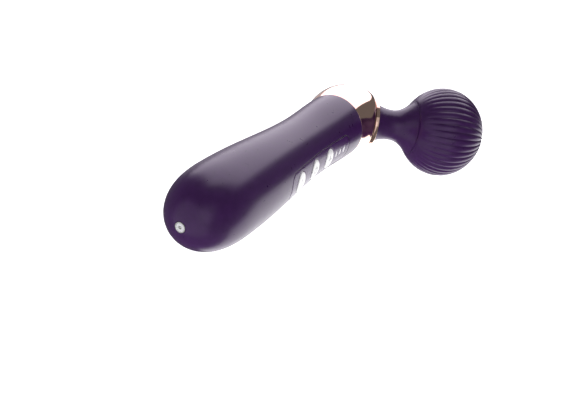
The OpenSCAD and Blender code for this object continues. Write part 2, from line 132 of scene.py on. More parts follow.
def neck_radius(t):
    """Radius of the neck a distance t behind the head's centre."""
    if t > NECK_MIN_T:
        s = (t - NECK_MIN_T) / (NECK_FOOT_T - NECK_MIN_T)
        return NECK_MIN_R + (NECK_FOOT_R - NECK_MIN_R) * s * s
    span = NECK_MIN_T - PARTING_W
    s = (NECK_MIN_T - t) / span
    end_r = HEAD_R * sqrt(1 - (PARTING_W / HEAD_A) ** 2)
    return NECK_MIN_R + (end_r - NECK_MIN_R) * ease(s) + NECK_END_SLOPE * span * (s ** 3 - s ** 2)


def round_box(x0, x1, half, r, side_steps, end_steps):
    """Outline of a round-cornered box, split at the middle of each corner into two ends and two sides."""
    def walk(points, steps):
        lengths = [0.0]
        for a, b in zip(points, points[1:]):
            lengths.append(lengths[-1] + hypot(b[0] - a[0], b[1] - a[1]))
        out, j = [], 0
        for i in range(steps):
            goal = lengths[-1] * i / steps
            while lengths[j + 1] < goal:
                j += 1
            s = (goal - lengths[j]) / (lengths[j + 1] - lengths[j])
            out.append(tuple(p + (q - p) * s for p, q in zip(points[j], points[j + 1])))
        return out

    def corner(cx, cy, start, fine=24):
        return [(cx + r * cos(radians(start + 45 * i / fine)), cy + r * sin(radians(start + 45 * i / fine)))
                for i in range(fine + 1)]

    xs, ys = (x0 + r, x1 - r), (r - half, half - r)
    front = corner(xs[1], ys[0], 315) + corner(xs[1], ys[1], 0)
    top = corner(xs[1], ys[1], 45) + corner(xs[0], ys[1], 90)
    rear = corner(xs[0], ys[1], 135) + corner(xs[0], ys[0], 180)
    bottom = corner(xs[0], ys[0], 225) + corner(xs[1], ys[0], 270)
    return walk(front, end_steps) + walk(top, side_steps) + walk(rear, end_steps) + walk(bottom, side_steps)


def oval(x, w, l, steps, grow=0.0):
    return [(x + (w / 2 + grow) * cos(2 * pi * i / steps), (l / 2 + grow) * sin(2 * pi * i / steps))
            for i in range(steps)]


# ---------------------------------------------------------------- meshes

def make(name, points, faces, body=None, material=None, replaces=()):
    """A smooth mesh piece from points in mm, riding on a body."""
    mesh = bpy.data.meshes.new(name)
    mesh.from_pydata([to_row(p) for p in points], [], faces)
    bm = bmesh.new()
    bm.from_mesh(mesh)
    bmesh.ops.remove_doubles(bm, verts=bm.verts, dist=1e-7)
    bmesh.ops.dissolve_degenerate(bm, dist=1e-8, edges=bm.edges)
    bmesh.ops.delete(bm, geom=[v for v in bm.verts if not v.link_faces], context="VERTS")
    bmesh.ops.recalc_face_normals(bm, faces=bm.faces)
    bm.to_mesh(mesh)
    bm.free()
    for poly in mesh.polygons:
        poly.use_smooth = True
    piece = bpy.data.objects.new(name, mesh)
    bpy.context.collection.objects.link(piece)
    if material:
        mesh.materials.append(material)
    if body:
        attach(piece, body)
    if replaces:
        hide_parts(*replaces)
    return piece


def bridge(faces, ring_a, ring_b, closed=True):
    """Faces between two rings of the same count, given as lists of point numbers."""
    n = len(ring_a)
    for i in range(n if closed else n - 1):
        j = (i + 1) % n
        faces.append((ring_a[i], ring_a[j], ring_b[j], ring_b[i]))


def add_ring(points, faces, ring_points, before):
    """Add a ring of points, join it to the ring before, and give its point numbers."""
    start = len(points)
    points += ring_points
    ring = list(range(start, len(points)))
    bridge(faces, before, ring)
    return ring


def fillet(size, angles):
    """Steps round a rounded edge: how far each is from the side face, and from the top face."""
    return [(size * (1 - sin(radians(a))), size * (1 - cos(radians(a)))) for a in angles]


def turned(profile, place, steps=128, closed_profile=False):
    """Points and faces of a profile of (along, radius) pairs turned about an axis."""
    points, faces, rings = [], [], []
    for along, r in profile:
        if r < 1e-6:
            points.append(place(along, 0.0, 0.0))
            rings.append([len(points) - 1] * steps)
        else:
            start = len(points)
            points += [place(along, r, 2 * pi * i / steps) for i in range(steps)]
            rings.append(list(range(start, start + steps)))
    pairs = list(zip(rings, rings[1:]))
    if closed_profile:
        pairs.append((rings[-1], rings[0]))
    for a, b in pairs:
        for i in range(steps):
            j = (i + 1) % steps
            face = []
            for k in (a[i], a[j], b[j], b[i]):
                if k not in face:
                    face.append(k)
            if len(face) > 2:
                faces.append(tuple(face))
    return points, faces


def rounded(corners, steps=5):
    """A profile with its corners rounded; corners are (along, radius, fillet)."""
    out = []
    n = len(corners)
    for i, (a, r, f) in enumerate(corners):
        if f <= 0:
            out.append((a, r))
            continue
        here = Vector((a, r))
        before = (Vector(corners[i - 1][:2]) - here).normalized()
        after = (Vector(corners[(i + 1) % n][:2]) - here).normalized()
        p, q = here + before * f, here + after * f
        for k in range(steps + 1):
            s = k / steps
            out.append(tuple((1 - s) ** 2 * p + 2 * s * (1 - s) * here + s * s * q))
    return out


# ---------------------------------------------------------------- finishes

def finish_of(name, colour, rough, metal=0.0, tint=0.12, grain=260.0, texture=2400.0, bump=0.05, specular=0.5,
              sheen=(1.0, 1.0, 1.0), coat=0.0, stretch=(1.0, 1.0, 1.0)):
    """A surface whose colour and gloss wander a little, with a fine texture in its relief."""
    mat = bpy.data.materials.new(name)
    mat.use_nodes = True
    tree = mat.node_tree
    nodes, links = tree.nodes, tree.links
    shader = nodes["Principled BSDF"]
    shader.inputs["Metallic"].default_value = metal
    shader.inputs["Specular IOR Level"].default_value = specular
    shader.inputs["Specular Tint"].default_value = (*sheen, 1.0)
    if coat:
        shader.inputs["Coat Weight"].default_value = coat
        shader.inputs["Coat Roughness"].default_value = 0.12

    place = nodes.new("ShaderNodeTexCoord")
    mapping = nodes.new("ShaderNodeMapping")
    mapping.inputs["Scale"].default_value = stretch
    links.new(place.outputs["Object"], mapping.inputs["Vector"])

    cloud = nodes.new("ShaderNodeTexNoise")
    cloud.inputs["Scale"].default_value = grain
    cloud.inputs["Detail"].default_value = 5.0
    cloud.inputs["Roughness"].default_value = 0.6
    links.new(mapping.outputs["Vector"], cloud.inputs["Vector"])

    ramp = nodes.new("ShaderNodeValToRGB")
    ramp.color_ramp.elements[0].position = 0.3
    ramp.color_ramp.elements[1].position = 0.7
    ramp.color_ramp.elements[0].color = [c * (1 - tint) for c in colour] + [1.0]
    ramp.color_ramp.elements[1].color = [min(1.0, c * (1 + tint)) for c in colour] + [1.0]
    links.new(cloud.outputs["Fac"], ramp.inputs["Fac"])
    links.new(ramp.outputs["Color"], shader.inputs["Base Color"])

    gloss = nodes.new("ShaderNodeMapRange")
    gloss.inputs["From Min"].default_value = 0.3
    gloss.inputs["From Max"].default_value = 0.7
    gloss.inputs["To Min"].default_value = rough * 0.9
    gloss.inputs["To Max"].default_value = min(1.0, rough * 1.1)
    links.new(cloud.outputs["Fac"], gloss.inputs["Value"])
    links.new(gloss.outputs["Result"], shader.inputs["Roughness"])

    fine = nodes.new("ShaderNodeTexNoise")
    fine.inputs["Scale"].default_value = texture
    fine.inputs["Detail"].default_value = 3.0
    links.new(mapping.outputs["Vector"], fine.inputs["Vector"])
    relief = nodes.new("ShaderNodeBump")
    relief.inputs["Strength"].default_value = bump
    relief.inputs["Distance"].default_value = 0.0001
    links.new(fine.outputs["Fac"], relief.inputs["Height"])
    links.new(relief.outputs["Normal"], shader.inputs["Normal"])
    return mat


FINISHES = {
    "silicone_purple": finish_of("silicone_purple", (0.042, 0.0075, 0.078), 0.30, bump=0.03, texture=3000,
                                 specular=0.54, sheen=(0.95, 0.87, 1.0)),
    "rose_gold": finish_of("rose_gold", (0.93, 0.64, 0.53), 0.06, metal=1.0, tint=0.015, grain=60,
                           bump=0.004),
    "panel_plastic": finish_of("panel_plastic", (0.050, 0.011, 0.092), 0.24, bump=0.02, texture=3400,
                               sheen=(0.95, 0.87, 1.0)),
    "button_white": finish_of("button_white", (0.95, 0.95, 0.95), 0.22, tint=0.01, bump=0.03, coat=0.3),
    "light_white": finish_of("light_white", (0.90, 0.90, 0.92), 0.30, tint=0.02, bump=0.03),
    "contact_nickel": finish_of("contact_nickel", (0.90, 0.89, 0.88), 0.42, metal=1.0, tint=0.04, bump=0.03),
    "contact_grey": finish_of("contact_grey", (0.66, 0.66, 0.68), 0.40, tint=0.03, bump=0.06),
    "sign_grey": finish_of("sign_grey", (0.36, 0.35, 0.36), 0.45, tint=0.06, bump=0.06),
    "seal_black": finish_of("seal_black", (0.014, 0.013, 0.014), 0.50, bump=0.12),
    "shell_grey": finish_of("shell_grey", (0.060, 0.060, 0.070), 0.50, bump=0.15),
    "screw_steel": finish_of("screw_steel", (0.58, 0.58, 0.60), 0.30, metal=1.0, tint=0.06, bump=0.06),
    "board_green": finish_of("board_green", (0.015, 0.110, 0.045), 0.38, tint=0.25, bump=0.10),
    "chip_black": finish_of("chip_black", (0.020, 0.020, 0.022), 0.45, bump=0.12),
    "wire_red": finish_of("wire_red", (0.420, 0.020, 0.018), 0.40, bump=0.06),
    "cell_blue": finish_of("cell_blue", (0.030, 0.160, 0.420), 0.32, bump=0.04, coat=0.3),
    "core_grey": finish_of("core_grey", (0.150, 0.150, 0.165), 0.45, bump=0.10),
    "motor_steel": finish_of("motor_steel", (0.56, 0.56, 0.58), 0.28, metal=1.0, tint=0.06, bump=0.06,
                             stretch=(1.0, 1.0, 6.0)),
    "magnet_dark": finish_of("magnet_dark", (0.055, 0.055, 0.060), 0.55, bump=0.20),
    "armature_copper": finish_of("armature_copper", (0.62, 0.24, 0.10), 0.32, metal=1.0, tint=0.15, bump=0.30,
                                 stretch=(1.0, 1.0, 3.0)),
    "bush_brass": finish_of("bush_brass", (0.66, 0.46, 0.16), 0.30, metal=1.0, tint=0.08, bump=0.08),
}


# ---------------------------------------------------------------- handle skin

SKIN_LIP = 0.22
WINDOW_X0, WINDOW_X1, WINDOW_TURN = PANEL_X0 - 3.5, PANEL_X1 + 3.5, radians(34)
SIDE_STEPS, END_STEPS, REST_STEPS = 72, 28, 100
POLE_RINGS, BULB_RINGS, FRONT_RINGS = 56, 22, 14


def handle_surface(x, z, depth=0.0):
    """The point of a layer of the handle that is seen at (x, z) when looking straight into the panel."""
    r = layer_radius(x, depth)
    return (x, -sqrt(max(0.0, r * r - z * z)), z)


def window(grow, depth):
    outline = round_box(PANEL_X0 - grow, PANEL_X1 + grow, PANEL_HW + grow, PANEL_CORNER + grow,
                        SIDE_STEPS, END_STEPS)
    return [handle_surface(x, z, depth) for x, z in outline]


def radius_to_x(r, depth):
    """Where a layer of the rear end has the radius r."""
    return depth + (BULB_L - depth) * (1 - (1 - (r / (BULB_R - depth)) ** 2) ** (1 / 3))


def skin_rings(depth, port_r, end_x):
    x0 = radius_to_x(port_r, depth)
    s0 = acos(1 - x0 / BULB_L)
    rear = [BULB_L * (1 - cos(s0 + (pi / 2 - s0) * i / POLE_RINGS)) for i in range(POLE_RINGS)]
    mid = [BULB_L + (WINDOW_X0 - BULB_L) * i / BULB_RINGS for i in range(BULB_RINGS)]
    panel = [WINDOW_X0 + (WINDOW_X1 - WINDOW_X0) * i / SIDE_STEPS for i in range(SIDE_STEPS)]
    front = [WINDOW_X1 + (end_x - WINDOW_X1) * i / FRONT_RINGS for i in range(FRONT_RINGS + 1)]
    return rear + mid + panel + front


def skin_sheet(depth, port_r, end_x, lip):
    """Points of one face of the skin, with its faces and the loops at its port, window and front."""
    xs = skin_rings(depth, port_r, end_x)
    turns = [-WINDOW_TURN + 2 * WINDOW_TURN * i / END_STEPS for i in range(END_STEPS)]
    turns += [WINDOW_TURN + (2 * pi - 2 * WINDOW_TURN) * i / REST_STEPS for i in range(REST_STEPS)]
    cols = len(turns)
    points = [handle_point(x, layer_radius(x, depth), a) for x in xs for a in turns]
    first = POLE_RINGS + BULB_RINGS
    last = first + SIDE_STEPS
    faces = []
    for i in range(len(xs) - 1):
        for j in range(cols):
            if first <= i < last and j < END_STEPS:
                continue
            k = (j + 1) % cols
            faces.append((i * cols + j, i * cols + k, (i + 1) * cols + k, (i + 1) * cols + j))
    loop = [last * cols + j for j in range(END_STEPS)]
    loop += [i * cols + END_STEPS for i in range(last, first, -1)]
    loop += [first * cols + j for j in range(END_STEPS, 0, -1)]
    loop += [i * cols for i in range(first, last)]
    outer = [(points[k][0], atan2(points[k][2], -points[k][1])) for k in loop]
    inner = [(x, asin(z / layer_radius(x, depth))) for x, z in round_box(
        PANEL_X0 - lip, PANEL_X1 + lip, PANEL_HW + lip, PANEL_CORNER + lip, SIDE_STEPS, END_STEPS)]
    before = loop
    for step in (0.22, 0.42, 0.6, 0.76, 0.88, 0.96, 1.0):
        ring_points = []
        for (x0, a0), (x1, a1) in zip(outer, inner):
            x, a = x0 + (x1 - x0) * step, a0 + (a1 - a0) * step
            ring_points.append(handle_point(x, layer_radius(x, depth), a))
        before = add_ring(points, faces, ring_points, before)
    port = list(range(cols))
    front = [(len(xs) - 1) * cols + j for j in range(cols)]
    return points, faces, port, before, front


def build_skin():
    points, faces, port, hole, front = skin_sheet(0.0, PORT_R + SKIN_LIP, HANDLE_L - SKIN_LIP, SKIN_LIP)
    inner = skin_sheet(SKIN_T, PORT_R, HANDLE_L, 0.0)
    shift = len(points)
    points += inner[0]
    faces += [tuple(k + shift for k in reversed(f)) for f in inner[1]]
    port_in, hole_in, front_in = [[k + shift for k in ring] for ring in inner[2:]]
    turns = [atan2(points[k][2], -points[k][1]) for k in port]
    pole = radius_to_x(PORT_R + SKIN_LIP, 0.0)
    for a in (22.5, 45, 67.5, 90):
        off, down = SKIN_LIP * sin(radians(a)), SKIN_LIP * (1 - cos(radians(a)))
        port_points = [handle_point(pole + down, PORT_R + SKIN_LIP - off, t) for t in turns]
        port = add_ring(points, faces, port_points, port)
        hole = add_ring(points, faces, window(SKIN_LIP - off, down), hole)
        front_points = [handle_point(HANDLE_L - SKIN_LIP + off, FRONT_R - down, t) for t in turns]
        front = add_ring(points, faces, front_points, front)
    bridge(faces, port, port_in)
    bridge(faces, hole, hole_in)
    bridge(faces, front, front_in)
    return make("handle_skin_surface", points, faces, "handle",
                FINISHES["silicone_purple"], ["handle_skin"])


# ---------------------------------------------------------------- control panel

def inside(p, polygon):
    x, y = p
    hit = False
    for (x0, y0), (x1, y1) in zip(polygon, polygon[1:] + polygon[:1]):
        if (y0 > y) != (y1 > y) and x < (x1 - x0) * (y - y0) / (y1 - y0) + x0:
            hit = not hit
    return hit


def near(p, polygon, reach):
    return any(hypot(p[0] - q[0], p[1] - q[1]) < reach for q in polygon)


def plate(outline, holes, spacing):
    """Triangles that fill an outline round its holes: points, faces and the loops' point numbers."""
    loops = [outline] + holes
    coords, edges = [], []
    for loop in loops:
        start = len(coords)
        coords += loop
        edges += [(start + i, start + (i + 1) % len(loop)) for i in range(len(loop))]
    fixed = len(coords)
    xs = [p[0] for p in outline]
    ys = [p[1] for p in outline]
    row, y = 0, min(ys)
    while y < max(ys):
        x = min(xs) + (spacing / 2 if row % 2 else 0.0)
        while x < max(xs):
            p = (x, y)
            if inside(p, outline) and not any(inside(p, h) for h in holes) \
                    and not near(p, coords[:fixed], spacing * 0.55):
                coords.append(p)
            x += spacing
        y += spacing * 0.866
        row += 1
    verts, _, tris, _, _, _ = delaunay_2d_cdt([Vector(p) for p in coords], edges, [], 0, 1e-6, False)
    assert len(verts) == len(coords)
    keep = []
    for tri in tris:
        c = tuple(sum(verts[k][axis] for k in tri) / 3 for axis in (0, 1))
        if inside(c, outline) and not any(inside(c, h) for h in holes):
            keep.append(tuple(tri))
    rings, start = [], 0
    for loop in loops:
        rings.append(list(range(start, start + len(loop))))
        start += len(loop)
    return coords, keep, rings


def light_slot(i, grow, steps=5):
    x = LIGHT_X0 + i * LIGHT_PITCH
    half_w, half_l = LIGHT_W / 2 + grow, LIGHT_L / 2 + grow
    r = half_w * 0.85
    out = []
    for c in range(4):
        cx = half_w - r if c in (0, 3) else r - half_w
        cy = half_l - r if c < 2 else r - half_l
        angles = [radians(90 * c + 90 * k / steps) for k in range(steps + 1)]
        out += [(x + cx + r * cos(a), cy + r * sin(a)) for a in angles]
    return out


def panel_edge(grow):
    g = grow - PANEL_GAP
    return round_box(PANEL_X0 - g, PANEL_X1 + g, PANEL_HW + g, PANEL_CORNER + g, 96, 28)


def button_outline(i, grow):
    return oval(BUTTON_X0 + i * BUTTON_PITCH, BUTTON_W, BUTTON_L, 72, grow)


def build_panel():
    lip, hole_lip = 0.16, 0.10
    outline = panel_edge(-lip)
    holes = [button_outline(i, BUTTON_GAP + hole_lip) for i in range(3)]
    holes += [light_slot(i, LIGHT_GAP + LIGHT_LIP) for i in range(3)]
    flat, tris, rings = plate(outline, holes, 0.85)
    points = [handle_surface(x, z) for x, z in flat]
    faces = list(tris)
    under = len(points)
    points += [handle_surface(x, z, SKIN_T - CLEARANCE) for x, z in flat]
    faces += [tuple(k + under for k in reversed(f)) for f in tris]
    sizes = [lip] + [hole_lip] * 3 + [LIGHT_LIP] * 3
    shapes = [panel_edge]
    shapes += [lambda g, i=i: button_outline(i, BUTTON_GAP - g) for i in range(3)]
    shapes += [lambda g, i=i: light_slot(i, LIGHT_GAP - g) for i in range(3)]
    for ring, size, shape in zip(rings, sizes, shapes):
        before = ring
        for off, down in fillet(size, (30, 60, 90)):
            ring_points = [handle_surface(x, z, down) for x, z in shape(-off)]
            before = add_ring(points, faces, ring_points, before)
        bridge(faces, before, [k + under for k in ring])
    return make("panel_insert_surface", points, faces, "handle",
                FINISHES["panel_plastic"], ["panel_insert"])


STEM_R, STEM_END, TIP_R = 1.5, -11.95, 0.8
FLANGE_R, FLANGE_T, FLANGE_GAP = 2.3, 0.6, 0.4


def button_height(rho):
    """Height of a button's top over the handle; rho goes from 0 at its middle to 1 at its edge."""
    return BUTTON_PROUD - BUTTON_DOME * rho ** 2.5


def build_button(i, name, body):
    x0 = BUTTON_X0 + i * BUTTON_PITCH
    steps = 72
    points = [handle_surface(x0, 0.0, -button_height(0.0))]
    faces = []
    before = None
    for k in range(1, 15):
        rho = k / 14
        ring = []
        for x, z in oval(x0, BUTTON_W, BUTTON_L, steps, -BUTTON_LIP):
            ring.append(len(points))
            points.append(handle_surface(x0 + (x - x0) * rho, z * rho, -button_height(rho)))
        if before:
            bridge(faces, before, ring)
        else:
            faces += [(0, ring[j], ring[(j + 1) % steps]) for j in range(steps)]
        before = ring
    levels = [(-off, down) for off, down in fillet(BUTTON_LIP, (22.5, 45, 67.5, 90))]
    levels += [(0.0, 1.0), (0.0, BUTTON_PROUD - BUTTON_DOME + BUTTON_DEPTH)]
    for grow, down in levels:
        outline = oval(x0, BUTTON_W, BUTTON_L, steps, grow)
        ring_points = [handle_surface(x, z, down - button_height(1.0)) for x, z in outline]
        before = add_ring(points, faces, ring_points, before)
    # the stem and its flange inside the handle
    skin_y = -handle_radius(x0)
    flange = -layer_radius(x0, SHELL_IN) + FLANGE_GAP
    for y, r in ((skin_y + BUTTON_DEPTH, STEM_R), (flange, STEM_R), (flange, FLANGE_R),
                 (flange + FLANGE_T, FLANGE_R), (flange + FLANGE_T, STEM_R),
                 (STEM_END, STEM_R), (STEM_END, TIP_R)):
        turns = [2 * pi * j / steps for j in range(steps)]
        ring_points = [(x0 + r * cos(turn), y, r * sin(turn)) for turn in turns]
        before = add_ring(points, faces, ring_points, before)
    points.append((x0, STEM_END, 0.0))
    faces += [(len(points) - 1, before[(j + 1) % steps], before[j]) for j in range(steps)]
    return make(name + "_cap", points, faces, body, FINISHES["button_white"], [name])


SIGN_PROUD, SIGN_DEPTH = 0.035, 0.05


def stroke_icon(name, i, outlines, body):
    """A sign on a button: thin strokes that lie on its top, each a closed outline about its middle."""
    x0 = BUTTON_X0 + i * BUTTON_PITCH
    points, faces = [], []

    def lift(p, over):
        rho = min(1.0, hypot(p[0] / (BUTTON_W / 2 - BUTTON_LIP), p[1] / (BUTTON_L / 2 - BUTTON_LIP)))
        return handle_surface(x0 + p[0], p[1], -button_height(rho) - over)

    for outline in outlines:
        flat, tris, rings = plate(outline, [], 0.4)
        top = len(points)
        points += [lift(p, SIGN_PROUD) for p in flat]
        foot = len(points)
        points += [lift(p, -SIGN_DEPTH) for p in flat]
        faces += [tuple(k + top for k in t) for t in tris]
        faces += [tuple(k + foot for k in reversed(t)) for t in tris]
        for ring in rings:
            bridge(faces, [k + top for k in ring], [k + foot for k in ring])
    return make(name, points, faces, body, FINISHES["sign_grey"])


def bar(cx, cz, half_x, half_z, steps=6):
    """Outline of a bar with round ends, longer across the handle when half_z is larger."""
    r = min(half_x, half_z)
    meets_next = 0 if half_x < half_z else 1
    out = []
    for c in range(4):
        px = half_x - r if c in (0, 3) else r - half_x
        pz = half_z - r if c < 2 else r - half_z
        count = steps if c % 2 == meets_next else steps + 1
        angles = [radians(90 * c + 90 * k / steps) for k in range(count)]
        out += [(cx + px + r * cos(a), cz + pz + r * sin(a)) for a in angles]
    return out


def arc_band(cx, cz, r0, r1, a0, a1, steps=28):
    out = [(cx + r1 * cos(a0 + (a1 - a0) * k / steps), cz + r1 * sin(a0 + (a1 - a0) * k / steps))
           for k in range(steps + 1)]
    out += [(cx + r0 * cos(a1 + (a0 - a1) * k / steps), cz + r0 * sin(a1 + (a0 - a1) * k / steps))
            for k in range(steps + 1)]
    return out


def build_lights():
    points, faces = [], []
    for i in range(3):
        x0 = LIGHT_X0 + i * LIGHT_PITCH
        before = None
        start = len(points)
        points.append(handle_surface(x0, 0.0, -0.04))
        for scale, down in ((0.25, -0.04), (0.5, -0.035), (0.75, -0.02), (0.9, 0.0), (1.0, 0.08), (1.0, 1.6)):
            ring = []
            for x, z in light_slot(i, 0.0):
                ring.append(len(points))
                points.append(handle_surface(x0 + (x - x0) * scale, z * scale, down))
            n = len(ring)
            if before:
                bridge(faces, before, ring)
            else:
                faces += [(start, ring[j], ring[(j + 1) % n]) for j in range(n)]
            before = ring
        ring = add_ring(points, faces, [(x, LIGHT_FOOT, z) for x, z in light_slot(i, 0.0)], before)
        points.append((x0, LIGHT_FOOT, 0.0))
        faces += [(len(points) - 1, ring[(j + 1) % n], ring[j]) for j in range(n)]
    # the bar inside that joins the three marks
    lo, hi = LIGHT_X0 - 1.5, LIGHT_X0 + 2 * LIGHT_PITCH + 1.5
    half = LIGHT_L / 2
    start = len(points)
    for x in (lo, hi):
        for y in (LIGHT_BAR_Y, LIGHT_FOOT):
            for z in (-half, half):
                points.append((x, y, z))
    faces += [tuple(start + k for k in f) for f in
              ((0, 1, 3, 2), (4, 6, 7, 5), (0, 4, 5, 1), (2, 3, 7, 6), (0, 2, 6, 4), (1, 5, 7, 3))]
    return make("light_marks", points, faces, "handle", FINISHES["light_white"],
                ["light_guide"])


# ---------------------------------------------------------------- charging contact

RING_R, RING_BORE_R, INSULATOR_R, PIN_HOLE_R, PIN_R = 2.4, 2.0, 1.99, 0.7, 0.69
CONTACT_L, PIN_L = 3.25, 12.5
INSULATOR_SUNK = 0.07


def build_contact():
    ring = rounded([(0.0, RING_R, 0.12), (CONTACT_L, RING_R, 0.0), (CONTACT_L, RING_BORE_R, 0.0),
                    (0.0, RING_BORE_R, 0.08)])
    points, faces = turned(ring, handle_point, 96, True)
    make("charge_ring_turned", points, faces, "handle", FINISHES["contact_nickel"],
         ["charge_ring"])
    core = rounded([(INSULATOR_SUNK, INSULATOR_R, 0.05), (CONTACT_L, INSULATOR_R, 0.0),
                    (CONTACT_L, PIN_HOLE_R, 0.0), (INSULATOR_SUNK, PIN_HOLE_R, 0.05)])
    points, faces = turned(core, handle_point, 96, True)
    make("charge_insulator_turned", points, faces, "handle", FINISHES["contact_grey"],
         ["charge_insulator"])
    tip = rounded([(0.0, PIN_R, 0.15), (PIN_L, PIN_R, 0.1)])[0:6]
    pin = [(0.0, 0.0), (0.0, 0.3)] + tip + [(PIN_L, PIN_R), (PIN_L, 0.0)]
    points, faces = turned(pin, handle_point, 48)
    make("charge_pin_turned", points, faces, "handle", FINISHES["contact_nickel"],
         ["charge_pin"])


# ---------------------------------------------------------------- collar

RIM = (HEAD_CENTRE[0] - RIM_T * HEAD_AXIS[0], HEAD_CENTRE[1] - RIM_T * HEAD_AXIS[1])
COLLAR_X = HANDLE_L + 0.05
COLLAR_T = 1.2
COLLAR_REACH, COLLAR_CURVE = 0.34, 3.3


def collar_ring(u, inset, ahead=0.0, steps=192):
    """A ring of the collar at u, from 0 at the handle to 1 at the rim."""
    reach = COLLAR_REACH * hypot(RIM[0] - COLLAR_X, RIM[1])
    p0, p3 = (COLLAR_X, 0.0), RIM
    p1 = (COLLAR_X + reach, 0.0)
    p2 = (RIM[0] - reach * HEAD_AXIS[0], RIM[1] - reach * HEAD_AXIS[1])
    a = radians(HEAD_ANGLE * u)
    bow = SHOULDER * sin(pi * u)
    mid = [(1 - u) ** 3 * q0 + 3 * u * (1 - u) ** 2 * q1 + 3 * u * u * (1 - u) * q2 + u ** 3 * q3
           for q0, q1, q2, q3 in zip(p0, p1, p2, p3)]
    cx = mid[0] + bow * sin(a) + ahead * cos(a)
    cy = mid[1] + bow * cos(a) - ahead * sin(a)
    taper = max(0.0, 1 - u ** COLLAR_CURVE) ** (1 / COLLAR_CURVE)
    r = RIM_R + (FRONT_R - RIM_R) * taper + bow - inset - 0.05
    return [(cx - r * cos(t) * sin(a), cy - r * cos(t) * cos(a), r * sin(t))
            for t in (2 * pi * k / steps for k in range(steps))]


def build_collar():
    lip, seam = 0.3, 0.12
    rings = [collar_ring(0.0, off, down) for off, down in fillet(seam, (0, 30, 60, 90))]
    us = [0.02 * (k + 1) for k in range(44)] + [0.9, 0.92, 0.94, 0.955, 0.97, 0.98, 0.988]
    rings += [collar_ring(u, 0.0) for u in us]
    rings += [collar_ring(1.0, down, -off) for off, down in fillet(lip, (0, 22.5, 45, 67.5, 90))]
    rings += [collar_ring(u, COLLAR_T) for u in [1.0] + [0.96 - 0.06 * k for k in range(16)] + [0.0]]
    points = [p for ring in rings for p in ring]
    n = len(rings[0])
    faces = []
    for k in range(len(rings)):
        m = (k + 1) % len(rings)
        bridge(faces, list(range(k * n, k * n + n)), list(range(m * n, m * n + n)))
    return make("collar_lofted", points, faces, "handle", FINISHES["rose_gold"], ["collar"])


# ---------------------------------------------------------------- neck

def build_neck_rings():
    back, front = -RIM_T + GROOVE_W, -NECK_FOOT_T
    bore_r, seal_r = NOSE_R + 0.02, RIM_R - 0.6
    ring = rounded([(back, bore_r, 0.0), (back, RIM_R, 0.3), (front, RIM_R, 0.42), (front, bore_r, 0.0)], 8)
    points, faces = turned(ring, head_point, 192, True)
    make("neck_ring_turned", points, faces, "handle", FINISHES["rose_gold"], ["neck_ring"])
    seal = rounded([(-RIM_T, bore_r, 0.0), (-RIM_T, seal_r, 0.1), (back, seal_r, 0.1),
                    (back, bore_r, 0.0)], 4)
    points, faces = turned(seal, head_point, 128, True)
    make("groove_seal_turned", points, faces, "handle", FINISHES["seal_black"], ["groove_seal"])


SLEEVE_SPLIT = 34.0
BALL_GAP = 0.1
# each length of the neck: its name, the bodies at its two ends, and where a bend would start and end along
# it; the script builds the pieces unbent and does not read the last two
LOWER = ("lower", ("handle", "neck_link"), (41.0, 34.6))
UPPER = ("upper", ("neck_link", "head"), (33.4, 26.0))


def neck_piece(kind, length, points, faces, slot):
    part, bodies, ends = length
    piece = make(f"neck_{kind}_{part}", points, faces, None, FINISHES[slot], ["neck_" + kind])
    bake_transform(piece)


def sleeve_line(t0, t1, steps, first=0):
    """The sleeve's outer line, as (t, radius), from t0 to t1."""
    ts = [t0 + (t1 - t0) * k / steps for k in range(first, steps + 1)]
    return [(t, neck_radius(t)) for t in ts]


def build_sleeve():
    """The neck's skin, in a lower and an upper length, each open where they meet."""
    foot, lip, steps = NECK_FOOT_T - 0.03, 0.25, 160
    foot_r, end_r = neck_radius(foot), neck_radius(PARTING_W)
    low = [(foot, foot_r - 2.0)]
    low += [(foot - down, foot_r - off) for off, down in fillet(lip, (0, 30, 60, 90))]
    low += sleeve_line(foot - lip, SLEEVE_SPLIT, 26, 1)
    high = sleeve_line(SLEEVE_SPLIT, PARTING_W + lip, 44)
    high += [(PARTING_W + off, end_r - down) for off, down in fillet(lip, (22.5, 45, 67.5, 90))]
    high += [(PARTING_W, end_r - 1.6)]
    for length, line in ((LOWER, low), (UPPER, high)):
        points, faces = turned([(-t, r) for t, r in line], head_point, steps)
        neck_piece("sleeve", length, points, faces, "silicone_purple")


LEAD_R, LEAD_OFF = 0.5, 0.7
LEAD_W0, LEAD_W1 = 1 + HEAD_CENTRE[1] / sin(radians(HEAD_ANGLE)), -16.3


def build_leads():
    """The two leads through the neck, in a lower and an upper length."""
    for length, w0, w1 in ((LOWER, LEAD_W0, -SLEEVE_SPLIT), (UPPER, -SLEEVE_SPLIT, LEAD_W1)):
        points, faces = [], []
        profile = [(w0, 0.0)] + [(w0 + (w1 - w0) * k / 30, LEAD_R) for k in range(31)] + [(w1, 0.0)]
        for off in (-LEAD_OFF, LEAD_OFF):
            more, sides = turned(profile, head_point, 16)
            faces += [tuple(k + len(points) for k in f) for f in sides]
            points += [(x, y, z + off) for x, y, z in more]
        neck_piece("leads", length, points, faces, "wire_red")


# ---------------------------------------------------------------- head

RIBS, RIB_STEPS, RIB_DEPTH = 41, 16, 0.75
RIB_START, RIB_RISE, POLE_GAP, POLE_FALL = 0.6, 14.0, 0.35, 1.6
VALLEY_CURVE = 0.30


def rib_fade(w):
    """How deep the ribs are cut at w: none at the parting line and the front pole, full between them."""
    near_neck = min(1.0, max(0.0, (w + PARTING_W - RIB_START) / RIB_RISE))
    near_pole = min(1.0, max(0.0, (HEAD_A - POLE_GAP - w) / POLE_FALL))
    return ease(near_neck) * ease(near_pole)


